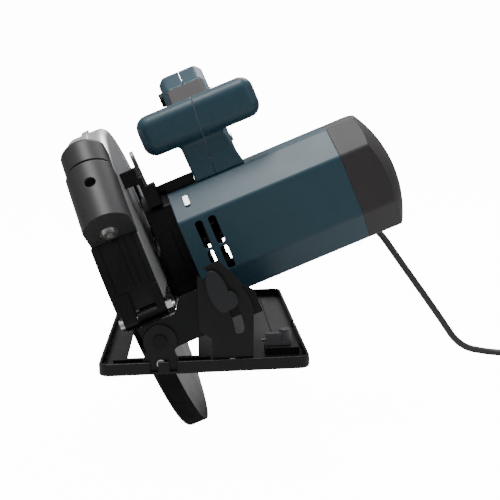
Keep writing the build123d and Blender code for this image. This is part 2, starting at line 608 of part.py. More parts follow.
with BuildPart() as field_coils:
    for x in (CORE_X[0] - 8, CORE_X[1]):
        for turn in (1, -1):
            with BuildSketch(side(x)) as coil:
                with Locations(MOTOR):
                    Circle(37.5)
                    Circle(27.5, mode=Mode.SUBTRACT)
                    Polygon((0, 0), (32, 48 * turn), (-32, 48 * turn), align=None, mode=Mode.INTERSECT)
            extrude(coil.sketch, amount=8)

save(field_coils.part, "field_coils", HEAD)

BRUSH_X = (151.0, 163.0)
HALF_Y_IN = MOTOR_HALF_Y - HOUSING_WALL
with BuildPart() as brush_holders:
    for way in (1, -1):
        reach = sorted((MOTOR[0] + way * 18, MOTOR[0] + way * HALF_Y_IN))
        bore = sorted((MOTOR[0] + way * 17, MOTOR[0] + way * 40))
        block((BRUSH_X[0] - 1, BRUSH_X[1] + 1), reach, (MOTOR[1] - 6, MOTOR[1] + 6))
        block((BRUSH_X[0] + 2, BRUSH_X[1] - 2), bore, (MOTOR[1] - 3.02, MOTOR[1] + 3.02), Mode.SUBTRACT)

save(brush_holders.part, "brush_holders", HEAD)

with BuildPart() as carbon_brushes:
    for way in (1, -1):
        reach = sorted((MOTOR[0] + way * 14.35, MOTOR[0] + way * 34))
        block((BRUSH_X[0] + 2.02, BRUSH_X[1] - 2.02), reach, (MOTOR[1] - 3, MOTOR[1] + 3))

save(carbon_brushes.part, "carbon_brushes", HEAD)

with BuildPart() as armature_bearings:
    ring(MOTOR_X[0] + 3.5, 8, 13, 5.05, MOTOR)
    ring(184.5, 8, 11, 5.05, MOTOR)

save(armature_bearings.part, "armature_bearings", HEAD)

# ==== the armature and everything that turns with it =======================================================


def toothed(x, length, teeth, centre, lead):
    """A spur gear with straight-flanked teeth; lead is the bearing of one tooth in degrees."""
    pitch_r = MODULE * teeth / 2
    root_r, tip_r = pitch_r - 1.1 * MODULE, pitch_r + 0.6 * MODULE
    step = pi * MODULE
    with BuildSketch(side(x)) as gear:
        with Locations(centre):
            Circle(root_r)
            with PolarLocations(0, teeth, start_angle=lead):
                Polygon((root_r - 0.5, -0.27 * step), (pitch_r, -0.17 * step), (tip_r, -0.08 * step),
                        (tip_r, 0.08 * step), (pitch_r, 0.17 * step), (root_r - 0.5, 0.27 * step), align=None)
    extrude(gear.sketch, amount=length)


MESH = degrees(acos((MOTOR[0] - ARBOR[0]) / sqrt((MOTOR[0] - ARBOR[0]) ** 2 + (MOTOR[1] - ARBOR[1]) ** 2)))
with BuildPart() as armature_shaft:
    disc(34.2, 158, 5, MOTOR)

save(armature_shaft.part, "armature_shaft", HEAD)

with BuildPart() as pinion_gear:
    toothed(24.6, 9.6, PINION_TEETH, MOTOR, MESH + 180)

save(pinion_gear.part, "pinion_gear", HEAD)

with BuildPart() as armature_core:
    ring(CORE_X[0], CORE_X[1] - CORE_X[0], 24.5, 5.02, MOTOR)
    with BuildSketch(side(CORE_X[0] - 1)) as slots:
        with Locations(MOTOR):
            with PolarLocations(23.5, 12):
                Rectangle(6, 2.2)
    extrude(slots.sketch, amount=CORE_X[1] - CORE_X[0] + 2, mode=Mode.SUBTRACT)

save(armature_core.part, "armature_core", HEAD)

with BuildPart() as armature_windings:
    ring(CORE_X[0] - 9, 9, 21, 5.02, MOTOR)
    ring(CORE_X[1], 9, 21, 5.02, MOTOR)
    fillet(armature_windings.edges().group_by(Axis.X)[0].sort_by(SortBy.RADIUS)[-1], 3)
    fillet(armature_windings.edges().group_by(Axis.X)[-1].sort_by(SortBy.RADIUS)[-1], 3)

save(armature_windings.part, "armature_windings", HEAD)

with BuildPart() as commutator:
    ring(148, 18, 14, 5.02, MOTOR)

save(commutator.part, "commutator", HEAD)

with BuildPart() as cooling_fan:
    ring(57, 2, 40, 5.02, MOTOR)
    ring(57, 9, 9, 5.02, MOTOR)
    with BuildSketch(side(59)) as blades:
        with Locations(MOTOR):
            with PolarLocations(30, 14):
                Rectangle(18, 1.6, rotation=24)
    extrude(blades.sketch, amount=7)

save(cooling_fan.part, "cooling_fan", HEAD)

# ==== the spindle and everything that turns with it ========================================================

FLANGE_R = 17.0
with BuildPart() as spindle:
    disc(-13, 51.4, 6)

save(spindle.part, "spindle", HEAD)

with BuildPart() as drive_gear:
    toothed(25, 7, GEAR_TEETH, ARBOR, MESH + 180 / GEAR_TEETH)
    disc(24, 9, 6.02, ARBOR, Mode.SUBTRACT)

save(drive_gear.part, "drive_gear", HEAD)

# The flanges that clamp the blade, one on each face.
with BuildPart() as blade_flanges:
    ring(BLADE_X - 5, 4.2, FLANGE_R, 6.02)
    fillet(blade_flanges.edges().group_by(Axis.X)[0].sort_by(SortBy.RADIUS)[-1], 1.2)
    ring(BLADE_X + 0.8, 4.4, FLANGE_R, 6.02)

save(blade_flanges.part, "blade_flanges", HEAD)

BLADE_TEETH = 24
with BuildPart() as blade:
    with BuildSketch(side(BLADE_X - 0.8)) as body:
        with Locations(ARBOR):
            Circle(BLADE_R - 7)
            with PolarLocations(0, BLADE_TEETH):
                Polygon((BLADE_R - 16, -2), (BLADE_R - 0.6, 6.0), (BLADE_R - 0.6, 9.5), (BLADE_R - 7, 13),
                        (BLADE_R - 16, 11), align=None)
            Circle(6.02, mode=Mode.SUBTRACT)
            with PolarLocations(BLADE_R - 12, 4):
                SlotOverall(12, 1.2, rotation=20, mode=Mode.SUBTRACT)
    extrude(body.sketch, amount=1.6)
    with BuildSketch(side(BLADE_X - KERF / 2)) as tips:
        with Locations(ARBOR):
            with PolarLocations(0, BLADE_TEETH):
                Polygon((BLADE_R - 7, 2.4), (BLADE_R, 6.0), (BLADE_R, 8.0), (BLADE_R - 7, 5.0), align=None)
    extrude(tips.sketch, amount=KERF)

save(blade.part, "blade", HEAD)

with BuildPart() as blade_bolt:
    with BuildSketch(side(-19)) as bolt_head:
        with Locations(ARBOR):
            RegularPolygon(8, 6)
    extrude(bolt_head.sketch, amount=4.5)
    disc(-14.5, 1.5, 9)

save(blade_bolt.part, "blade_bolt", HEAD)

# ==== the lower guard ======================================================================================

LOWER_WALL = 1.5
LOWER_CUT = 20.0                # its edge, in the head's z, when it is down
HUB_X = 17.0
BAND = 1.2                      # a raised band on the front of its rim
with BuildPart() as lower_core:
    disc(LOWER_X[0] + LOWER_WALL, LOWER_X[1] - LOWER_X[0] - 2 * LOWER_WALL, LOWER_R - LOWER_WALL)
    fillet(lower_core.edges().group_by(Axis.X)[0], LOWER_ROUND - LOWER_WALL)

# The lower guard: a narrow drum that closes the blade below, open on the left about the spindle, with a hub
# that runs on the gear case's nose.
with BuildPart() as lower_guard:
    disc(LOWER_X[0], LOWER_X[1] - LOWER_X[0], LOWER_R)
    fillet(lower_guard.edges().group_by(Axis.X)[0], LOWER_ROUND)
    add(lower_core.part, mode=Mode.SUBTRACT)
    slab(LOWER_X[0] - 1, 20, [(-160, LOWER_CUT), (160, LOWER_CUT), (160, 200), (-160, 200)], Mode.SUBTRACT)
    disc(LOWER_X[0] - 1, 3, 60, ARBOR, Mode.SUBTRACT)
    disc(LOWER_X[1] - LOWER_WALL, HUB_X - LOWER_X[1] + LOWER_WALL, 26)
    disc(LOWER_X[1] - 3, 25, 22 + RUN, ARBOR, Mode.SUBTRACT)
    for x, width, end in ((LOWER_X[0] + 3, 8.0, -45), (LOWER_X[0] + 11, 5.5, -42)):
        with BuildSketch(side(x)) as band:
            with Locations(ARBOR):
                Circle(LOWER_R + BAND)
                Circle(LOWER_R - 0.5, mode=Mode.SUBTRACT)
            Polygon(ARBOR, polar(200, end), polar(200, -10), align=None, mode=Mode.INTERSECT)
        extrude(band.sketch, amount=width)

save(lower_guard.part, "lower_guard", HEAD)

# The lever that lifts the lower guard, on its hub between the upper guard and the gear case.
LIFT_ANGLE = 95.0
LIFT_X = (14.5, HUB_X)
with BuildPart() as guard_lift_lever:
    ring(LIFT_X[0], LIFT_X[1] - LIFT_X[0], 31, 26.02)
    with BuildSketch(side(LIFT_X[0])) as arm:
        with Locations(Location((*ARBOR, 0), (0, 0, 180 - LIFT_ANGLE))):
            Polygon((28, -7), (77.5, -5), (77.5, 5), (28, 7), align=None)
    extrude(arm.sketch, amount=LIFT_X[1] - LIFT_X[0])
    with BuildSketch(side(LIFT_X[0])) as tab:
        with Locations(Location((*ARBOR, 0), (0, 0, 180 - LIFT_ANGLE))):
            Polygon((75, -8), (77.5, -8), (77.5, 8), (75, 8), align=None)
    extrude(tab.sketch, amount=8)

save(guard_lift_lever.part, "guard_lift_lever", HEAD)

# The return spring about the hub, five close turns of wire.
WIRE_R = 0.8
with BuildPart() as guard_spring:
    for turn in range(5):
        with Locations(Location((UPPER_X[1] - GUARD_WALL - WIRE_R - 1.5 * turn, *ARBOR), (0, 90, 0))):
            Torus(28.8, WIRE_R)

save(guard_spring.part, "guard_spring", HEAD)

# ==== the depth clamp ======================================================================================

DEPTH_LEVER_X = GUIDE_X + GUIDE_T + GAP
with BuildPart() as depth_bolt:
    disc(6.5, 17, PIVOT_PIN_R, DEPTH_BOLT)

save(depth_bolt.part, "depth_bolt", HEAD)

with BuildPart() as depth_lever:
    disc(DEPTH_LEVER_X, 6.4, 7, DEPTH_BOLT)
    with BuildSketch(side(DEPTH_LEVER_X + 2.4)) as arm:
        with Locations(Location((*DEPTH_BOLT, 0), (0, 0, 75))):
            Polygon((0, -6), (40, -4.5), (44, 0), (40, 4.5), (0, 6), align=None)
    extrude(arm.sketch, amount=4)
    disc(DEPTH_LEVER_X - 1, 6.2, PIVOT_PIN_R + RUN, DEPTH_BOLT, Mode.SUBTRACT)

save(depth_lever.part, "depth_lever", HEAD)

# ==== the handles ==========================================================================================

HOUSING_TOP = MOTOR[1] + MOTOR_HALF_Z

# The front grip: a hollow cross bar on a flared neck, in two halves that meet at a slanting seam.
NECK_Y = (-42.0, -14.0)
with BuildPart() as grip_bar:
    block(BAR_X, BAR_Y, BAR_Z)
    fillet(grip_bar.edges(), 10)

with BuildPart() as grip_body:
    plate(NECK_Y[1], NECK_Y[1] - NECK_Y[0], [(65, HOUSING_TOP), (107, HOUSING_TOP), (99, 122), (64, 122)])
    add(grip_bar.part)
    hollow = [(low + BAR_WALL, high - BAR_WALL) for low, high in (BAR_X, BAR_Y, BAR_Z)]
    block(*hollow, Mode.SUBTRACT)

GRIP_SEAM = [(82, 60), (87, 170)]
for node, edge_x in (("front_grip_left", 0), ("front_grip_right", 200)):
    with BuildPart() as grip_half:
        add(grip_body.part)
        plate(0, 80, GRIP_SEAM + [(edge_x, 170), (edge_x, 60)], Mode.INTERSECT)
    save(grip_half.part, node, HEAD)

# The strap that ties the front grip to the gear case.
with BuildPart() as grip_bracket:
    block((CASE_X[1], 64.4), (-34, -22), (HOUSING_TOP, 96))
    block((26, CASE_X[1]), (-34, -22), (91, 96))

save(grip_bracket.part, "grip_bracket", HEAD)

# The rear handle: a closed loop behind the motor, in two hollow halves, with a soft skin on its grip.
HANDLE_X = (SEAM - HANDLE_HALF, SEAM + HANDLE_HALF)
HOUSING_BACK = MOTOR[0] + MOTOR_HALF_Y
HANDLE_OUTLINE = [(-10, HOUSING_TOP), (2, 112), (22, 142), (44, 164), (66, 176), (92, 175), (118, 162),
                  (150, 128), (172, 98), (184, 70), (180, 50), (166, 42), (HOUSING_BACK, 40),
                  (HOUSING_BACK, HOUSING_TOP - MOTOR_CHAMFER), (HOUSING_BACK - MOTOR_CHAMFER, HOUSING_TOP)]
FINGER_GAP = [(45, 84), (40, 100), (52, 128), (72, 146), (92, 147), (112, 134), (136, 106), (152, 84),
              (152, 72), (140, 66), (100, 64), (60, 66)]
TRIGGER_PIVOT = (77.0, 152.5)
LOCK_OFF = (62.0, 158.0)
SKIN = 1.8
SKIN_Z = (100.0, 163.0)
RELIEF = Plane(origin=(SEAM, 182, 54), z_dir=(0, 0.85, -0.53))


def handle_outline(inset):
    """The loop's outline in y and z, drawn in by a wall on both sides."""
    with BuildSketch(Plane.XY) as outline:
        Polygon(*HANDLE_OUTLINE, align=None)
        fillet(outline.vertices().sort_by(Axis.X)[6:], 9)
        if inset:
            offset(amount=-inset)
    with BuildSketch(Plane.XY) as gap:
        Polygon(*FINGER_GAP, align=None)
        fillet(gap.vertices(), 7)
        if inset:
            offset(amount=inset)
    with BuildSketch(Plane.XY) as loop:
        add(outline.sketch)
        add(gap.sketch, mode=Mode.SUBTRACT)
    return loop.sketch


def handle_solid(x, width, inset, mode=Mode.ADD):
    """The loop's outline, extruded across the head."""
    with BuildSketch(side(x)) as face:
        add(handle_outline(inset))
    extrude(face.sketch, amount=width, mode=mode)


with BuildPart() as handle_body:
    handle_solid(HANDLE_X[0], 2 * HANDLE_HALF, 0)
    chamfer(handle_body.faces().filter_by(Axis.X).edges(), 5)

# The skin is the outline's outer layer, between two heights.
with BuildSketch(Plane.XY) as skin_band:
    add(handle_outline(0))
    add(handle_outline(SKIN), mode=Mode.SUBTRACT)
    Polygon((-20, SKIN_Z[0]), (200, SKIN_Z[0]), (200, SKIN_Z[1]), (-20, SKIN_Z[1]), align=None,
            mode=Mode.INTERSECT)
    Polygon(*FINGER_GAP, align=None, mode=Mode.SUBTRACT)

outer_skin = [face for face in skin_band.faces() if face.center().X < 30 or face.center().X > 125]
with BuildPart() as handle_overmould:
    with BuildSketch(side(HANDLE_X[0])) as skin_face:
        add(outer_skin)
    extrude(skin_face.sketch, amount=2 * HANDLE_HALF)
    add(handle_body.part, mode=Mode.INTERSECT)

save(handle_overmould.part, "handle_overmould", HEAD)

with BuildPart() as handle_shell:
    add(handle_body.part)
    add(handle_overmould.part, mode=Mode.SUBTRACT)
    handle_solid(HANDLE_X[0] + HANDLE_WALL, 2 * (HANDLE_HALF - HANDLE_WALL), HANDLE_WALL, Mode.SUBTRACT)
    block((77.4, 92.6), (73.4, 99.3), (130, 152), Mode.SUBTRACT)
    disc(HANDLE_X[0] - 1, HANDLE_WALL + 2, 6.3, LOCK_OFF, Mode.SUBTRACT)
    with BuildSketch(RELIEF.offset(-12)) as relief_hole:
        Circle(6.52)
    extrude(relief_hole.sketch, amount=40, mode=Mode.SUBTRACT)

for node, start in (("handle_left", HANDLE_X[0] - 1), ("handle_right", SEAM)):
    with BuildPart() as handle_half:
        add(handle_shell.part)
        block((start, start + HANDLE_HALF + 1), (-50, 220), (0, 200), Mode.INTERSECT)
    save(handle_half.part, node, HEAD)

# The screws on the right of the handle.
HANDLE_SCREWS = [(12, 108), (48, 150), (132, 136), (164, 90), (176, 58), (100, 53)]
with BuildPart() as case_screws:
    for place in HANDLE_SCREWS:
        disc(HANDLE_X[1], 1.6, 3.2, place)
        disc(HANDLE_X[1] + 0.8, 2, 1.5, place, Mode.SUBTRACT)

save(case_screws.part, "case_screws", HEAD)

with BuildPart() as trigger:
    slab(78, 14, [(73.8, 155.5), (98, 155.5), (98, 148), (95.5, 140), (90, 135.5), (82, 135), (75.5, 141),
                  (73.8, 147)])
    fillet(trigger.edges().filter_by(Axis.X).group_by(Axis.Z)[0], 3)
    disc(77, 16, 1.5 + RUN, TRIGGER_PIVOT, Mode.SUBTRACT)

save(trigger.part, "trigger", HEAD)

INNER_X = (HANDLE_X[0] + HANDLE_WALL, HANDLE_X[1] - HANDLE_WALL)
with BuildPart() as trigger_pin:
    disc(INNER_X[0], INNER_X[1] - INNER_X[0], 1.5, TRIGGER_PIVOT)

save(trigger_pin.part, "trigger_pin", HEAD)

with BuildPart() as trigger_switch:
    block((76, 94), (70, 96), (159.5, 167))
    block(INNER_X, (80, 86), (161, 165))

save(trigger_switch.part, "trigger_switch", HEAD)

with BuildPart() as lock_off_button:
    disc(HANDLE_X[0] - 3.5, 8.4, 6, LOCK_OFF)
    fillet(lock_off_button.edges().group_by(Axis.X)[0], 1)
    disc(INNER_X[0] + GAP, 1.2, 7.6, LOCK_OFF)

save(lock_off_button.part, "lock_off_button", HEAD)

# ==== the mains lead =======================================================================================

# The strain relief: a collar in the handle and a tapered sleeve that points back and down.
RELIEF_L = 38.0
with BuildPart() as strain_relief:
    with BuildSketch(RELIEF.offset(-8)):
        Circle(6.5)
    with BuildSketch(RELIEF.offset(3)):
        Circle(6.5)
    loft()
    with BuildSketch(RELIEF.offset(3)):
        Circle(6.5)
    with BuildSketch(RELIEF.offset(RELIEF_L)):
        Circle(4.8)
    loft()

save(strain_relief.part, "strain_relief", HEAD)

# The lead's route, from the strain relief's end over the ground to its coil. In the assembly's coordinates.
CORD_Z = FLOOR + CORD_R
COIL = (362.0, 212.0)
ROUTE = [
    (36.6, 214.3, 84.6),
    (42.0, 238.0, 71.0),
    (64.0, 252.0, 62.0),
    (100.0, 250.0, 61.0),
    (138.0, 230.0, 71.0),
    (172.5, 202.0, 68.5),
    (206.0, 201.5, 17.5),
    (240.0, 200.0, -33.0),
    (260.0, 199.5, -65.5),
    (290.0, 201.0, CORD_Z),
    (314.0, 191.0, CORD_Z),
    (335.0, 173.4, CORD_Z),
]


def corner_radii(points):
    """For each corner, 0.45 of its shorter run over the tangent of half the turn."""
    radii = []
    for before, corner, after in zip(points, points[1:], points[2:]):
        run_in, run_out = Vector(*corner) - Vector(*before), Vector(*after) - Vector(*corner)
        half_turn = radians(run_in.get_angle(run_out)) / 2
        radii.append(0.45 * min(run_in.length, run_out.length) / tan(half_turn))
    return radii


print("cord radii in diameters:", [round(radius / CORD_R / 2, 1) for radius in corner_radii(ROUTE)])
with BuildPart() as cord_run:
    with BuildLine() as route:
        FilletPolyline(*ROUTE, radius=corner_radii(ROUTE))
    with BuildSketch(Plane(origin=ROUTE[0], z_dir=Vector(*ROUTE[1]) - Vector(*ROUTE[0]))):
        Circle(CORD_R)
    sweep(path=route.line)

tube_length = sum(edge.length for edge in route.edges())
volume_ratio = cord_run.part.volume / (pi * CORD_R ** 2 * tube_length)
print("cord tube", round(tube_length), "mm; volume ratio", round(volume_ratio, 4))
save(cord_run.part, "cord_run")

with BuildPart() as cord_coil:
    with BuildSketch(Plane.XY.offset(FLOOR)):
        with Locations(COIL):
            Circle(COIL_R + COIL_BAND / 2)
            Circle(COIL_R - COIL_BAND / 2, mode=Mode.SUBTRACT)
    extrude(amount=COIL_H)

save(cord_coil.part, "cord_coil")

# The plug lies along the coil's last turn: a tapered body and two round pins.
PLUG_R = 11.0
PLUG_X = COIL[0] + 35.0
PLUG_Y = (COIL[1] - 12, COIL[1] + 28)
PLUG_Z = FLOOR + COIL_H + PLUG_R - 0.3
with BuildPart() as mains_plug:
    with Locations((PLUG_X, (PLUG_Y[0] + 14 + PLUG_Y[1]) / 2, PLUG_Z)):
        Cylinder(PLUG_R, PLUG_Y[1] - PLUG_Y[0] - 14, rotation=(90, 0, 0))
    with Locations((PLUG_X, PLUG_Y[0] + 7, PLUG_Z)):
        Cone(7.5, PLUG_R, 14, rotation=(-90, 0, 0))
    fillet(mains_plug.edges().filter_by(GeomType.CIRCLE).sort_by(Axis.Y)[-1], 2)
    for pin_x in (PLUG_X - 5.5, PLUG_X + 5.5):
        with Locations((pin_x, PLUG_Y[1] + 9, PLUG_Z)):
            Cylinder(2.2, 19, rotation=(90, 0, 0))

save(mains_plug.part, "mains_plug")
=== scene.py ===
import json
from math import cos, radians, sin

import bmesh
import bpy
from mathutils import Matrix, Vector


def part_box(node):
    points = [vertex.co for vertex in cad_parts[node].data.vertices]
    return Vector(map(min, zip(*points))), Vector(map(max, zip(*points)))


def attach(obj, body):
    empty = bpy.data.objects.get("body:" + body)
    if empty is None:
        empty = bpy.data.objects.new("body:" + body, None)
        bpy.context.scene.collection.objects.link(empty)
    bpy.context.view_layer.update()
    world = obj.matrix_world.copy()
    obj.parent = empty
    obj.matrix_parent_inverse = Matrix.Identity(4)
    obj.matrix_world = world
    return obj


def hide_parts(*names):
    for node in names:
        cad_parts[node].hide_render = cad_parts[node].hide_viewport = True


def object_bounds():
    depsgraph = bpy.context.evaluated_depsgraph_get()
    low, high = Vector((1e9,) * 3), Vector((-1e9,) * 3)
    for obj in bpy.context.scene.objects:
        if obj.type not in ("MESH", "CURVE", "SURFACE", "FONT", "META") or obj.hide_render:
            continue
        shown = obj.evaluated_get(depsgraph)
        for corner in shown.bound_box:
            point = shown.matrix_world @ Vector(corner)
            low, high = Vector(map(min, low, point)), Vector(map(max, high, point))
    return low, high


# A corded circular saw, in metres. +X runs from the blade side to the motor side, +Y to the rear, +Z up from
# the sole. The head's own pieces are placed in head coordinates (u along the spindle from the bevel pivot, y,
# v away from the sole), which the frame's joints give.

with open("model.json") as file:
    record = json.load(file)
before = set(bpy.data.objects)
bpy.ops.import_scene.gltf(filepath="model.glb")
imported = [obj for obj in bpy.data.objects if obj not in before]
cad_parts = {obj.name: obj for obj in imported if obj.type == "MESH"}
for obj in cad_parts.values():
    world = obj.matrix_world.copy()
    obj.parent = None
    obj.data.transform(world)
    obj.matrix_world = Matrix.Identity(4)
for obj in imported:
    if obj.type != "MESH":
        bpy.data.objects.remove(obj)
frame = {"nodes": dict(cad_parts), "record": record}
cad_box = [[float(value) for value in corner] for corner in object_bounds()]
NODES = frame["nodes"]
JOINTS = {joint["name"]: joint for joint in frame["record"]["behaviour"]["joints"]}

MM = 0.001
AXIS = Vector(JOINTS["blade_spin"]["axis"]).normalized()
PIVOT = Vector(JOINTS["bevel"]["pos_m"])
UP = Vector((-AXIS.z, 0, AXIS.x))
FLOOR_Z = cad_box[0][2]


def head(u, y, v):
    """A point in head coordinates, in millimetres, as a place in the frame."""
    return PIVOT + AXIS * (u * MM) + UP * (v * MM) + Vector((0, y * MM, 0))


# ---- camera, floor and light ------------------------------------------------------------------------------

CAMERA_PLACE = Vector((-0.00076, -0.9912, 0.19375))
YAW, PITCH, ROLL = radians(2.45), radians(7.27), radians(-1.93)
LENS, SENSOR = 86.4, 36.0


def add_camera():
    """A low view from the front, a little turned and tipped."""
    forward = Vector((sin(YAW) * cos(PITCH), cos(YAW) * cos(PITCH), -sin(PITCH)))
    level = Vector((cos(YAW), -sin(YAW), 0))
    upward = level.cross(forward)
    right = level * cos(ROLL) + upward * sin(ROLL)
    up = upward * cos(ROLL) - level * sin(ROLL)
    data = bpy.data.cameras.new("camera")
    data.lens = LENS
    data.sensor_width = SENSOR
    data.clip_start = 0.05
    camera = bpy.data.objects.new("camera", data)
    bpy.context.scene.collection.objects.link(camera)
    turn = Matrix((right, up, -forward)).transposed().to_4x4()
    camera.matrix_world = Matrix.Translation(CAMERA_PLACE) @ turn
    bpy.context.scene.camera = camera


def add_area(name, place, target, size, power):
    """A soft box that faces a target."""
    data = bpy.data.lights.new(name, "AREA")
    data.shape = "DISK"
    data.size = size
    data.energy = power
    light = bpy.data.objects.new(name, data)
    bpy.context.scene.collection.objects.link(light)
    place = Vector(place)
    light.location = place
    light.rotation_euler = (Vector(target) - place).to_track_quat("-Z", "Y").to_euler()


FLOOR_SIZE = 60
FLOOR_GREY = (0.55, 0.55, 0.55)
FLOOR_GLOW, SKY_GLOW = 14.0, 14.0               # what the camera sees straight
HORIZON_LIGHT, ZENITH_LIGHT = 0.05, 0.9         # what lights the saw
WHITE = (1, 1, 1, 1)
SAW_MIDDLE = (0.03, 0, 0.06)
# Each soft box's name, place, size across and power.
SOFT_BOXES = [
    ("key", (-0.3, -0.3, 1.8), 0.8, 24),
    ("fill", (1.5, -1.0, 1.0), 0.9, 2),
    ("back", (0.4, 1.2, 1.5), 1.2, 20),
]


def seen_or_lit(nodes, link, seen, lit=0.0):
    """One strength for what the camera sees straight, and another, a number or an output, for other light."""
    path = nodes.new("ShaderNodeLightPath")
    strength = nodes.new("ShaderNodeMapRange")
    strength.inputs["To Max"].default_value = seen
    link(path.outputs["Is Camera Ray"], strength.inputs["Value"])
    if isinstance(lit, float):
        strength.inputs["To Min"].default_value = lit
    else:
        link(lit, strength.inputs["To Min"])
    return strength.outputs["Result"]


def make_floor_paint():
    """A matt grey floor that glows white to the camera, as bright as the surround."""
    material = surface("floor_paint", FLOOR_GREY, 0.75, bevel=0)
    nodes, link = material.node_tree.nodes, material.node_tree.links.new
    shader = nodes["Principled BSDF"]
    shader.inputs["Emission Color"].default_value = WHITE
    link(seen_or_lit(nodes, link, FLOOR_GLOW), shader.inputs["Emission Strength"])
    return material


def make_surround():
    """A surround that is white to the camera, and lights the saw from above and little from the horizon."""
    world = bpy.data.worlds.new("surround")
    world.use_nodes = True
    nodes, link = world.node_tree.nodes, world.node_tree.links.new
    way = nodes.new("ShaderNodeTexCoord")
    parts = nodes.new("ShaderNodeSeparateXYZ")
    link(way.outputs["Generated"], parts.inputs["Vector"])
    rise = nodes.new("ShaderNodeMapRange")
    rise.inputs["To Min"].default_value = HORIZON_LIGHT
    rise.inputs["To Max"].default_value = ZENITH_LIGHT
    link(parts.outputs["Z"], rise.inputs["Value"])
    background = nodes["Background"]
    background.inputs["Color"].default_value = WHITE
    link(seen_or_lit(nodes, link, SKY_GLOW, rise.outputs["Result"]), background.inputs["Strength"])
    return world


def add_stage():
    """A wide floor that looks white, a white surround and the soft boxes."""
    bpy.ops.mesh.primitive_plane_add(size=FLOOR_SIZE, location=(0, 0, FLOOR_Z))
    floor = bpy.context.object
    floor.name = "floor"
    floor.data.materials.append(make_floor_paint())
    bpy.context.scene.world = make_surround()
    for name, place, size, power in SOFT_BOXES:
        add_area(name, place, SAW_MIDDLE, size, power)


# ---- materials --------------------------------------------------------------------------------------------


CLOUD_SCALE, CLOUD_DETAIL = 28, 5
CLOUD_TINT = 1.4                                # how far the colour wanders for each unit of patch
DUST_SCALE, DUST_LOW, DUST_HIGH = 1400, 0.62, 0.72
RELIEF_DETAIL, RELIEF_STRENGTH = 3, 0.6
BEVEL_SAMPLES = 6
SHARP_EDGE = 28


def surface(name, colour, roughness, metallic=0.0, grain=0.0, grain_size=0.0006, patch=0.06, bevel=0.5,
            specular=0.5, stretch=(1, 1, 1), speck=0.0):
    """A plain finish with fine grain, uneven gloss, faint cloudiness and softened edges.

    grain is the relief's depth in millimetres and grain_size its spacing in metres; patch is how much the
    colour and the gloss wander; bevel is the edges' round in millimetres; specular is the shader's own level;
    stretch draws the grain out along the object's axes; speck is how much pale dust shows.
    """
    material = bpy.data.materials.new(name)
    material.use_nodes = True
    tree = material.node_tree
    nodes, link = tree.nodes, tree.links.new
    shader = nodes["Principled BSDF"]
    shader.inputs["Metallic"].default_value = metallic
    shader.inputs["Specular IOR Level"].default_value = specular
    place = nodes.new("ShaderNodeTexCoord")
    mapping = nodes.new("ShaderNodeMapping")
    mapping.inputs["Scale"].default_value = stretch
    link(place.outputs["Object"], mapping.inputs["Vector"])

    cloud = nodes.new("ShaderNodeTexNoise")
    cloud.inputs["Scale"].default_value = CLOUD_SCALE
    cloud.inputs["Detail"].default_value = CLOUD_DETAIL
    link(mapping.outputs["Vector"], cloud.inputs["Vector"])
    gloss = nodes.new("ShaderNodeMapRange")
    gloss.inputs["To Min"].default_value = max(0.02, roughness - patch)
    gloss.inputs["To Max"].default_value = min(1.0, roughness + patch)
    link(cloud.outputs["Fac"], gloss.inputs["Value"])
    link(gloss.outputs["Result"], shader.inputs["Roughness"])

    tint = nodes.new("ShaderNodeMix")
    tint.data_type = "RGBA"
    wander = patch * CLOUD_TINT
    tint.inputs["A"].default_value = (*[channel * (1 - wander) for channel in colour], 1)
    tint.inputs["B"].default_value = (*[min(1.0, channel * (1 + wander)) for channel in colour], 1)
    link(cloud.outputs["Fac"], tint.inputs["Factor"])
    link(tint.outputs["Result"], shader.inputs["Base Color"])
    if speck:
        dust = nodes.new("ShaderNodeTexNoise")
        dust.inputs["Scale"].default_value = DUST_SCALE
        link(mapping.outputs["Vector"], dust.inputs["Vector"])
        pick = nodes.new("ShaderNodeMapRange")
        pick.inputs["From Min"].default_value = DUST_LOW
        pick.inputs["From Max"].default_value = DUST_HIGH
        pick.inputs["To Max"].default_value = speck
        link(dust.outputs["Fac"], pick.inputs["Value"])
        lighter = nodes.new("ShaderNodeMix")
        lighter.data_type = "RGBA"
        lighter.inputs["B"].default_value = (*[min(1.0, channel * 2.2 + 0.02) for channel in colour], 1)
        link(pick.outputs["Result"], lighter.inputs["Factor"])
        link(tint.outputs["Result"], lighter.inputs["A"])
        link(lighter.outputs["Result"], shader.inputs["Base Color"])

    normal = None
    if bevel:
        rounded = nodes.new("ShaderNodeBevel")
        rounded.samples = BEVEL_SAMPLES
        rounded.inputs["Radius"].default_value = bevel * MM
        normal = rounded.outputs["Normal"]
    if grain:
        relief = nodes.new("ShaderNodeTexNoise")
        relief.inputs["Scale"].default_value = 1 / grain_size
        relief.inputs["Detail"].default_value = RELIEF_DETAIL
        link(mapping.outputs["Vector"], relief.inputs["Vector"])
        bump = nodes.new("ShaderNodeBump")
        bump.inputs["Strength"].default_value = RELIEF_STRENGTH
        bump.inputs["Distance"].default_value = grain * MM
        link(relief.outputs["Fac"], bump.inputs["Height"])
        if normal:
            link(normal, bump.inputs["Normal"])
        normal = bump.outputs["Normal"]
    if normal:
        link(normal, shader.inputs["Normal"])
    return material


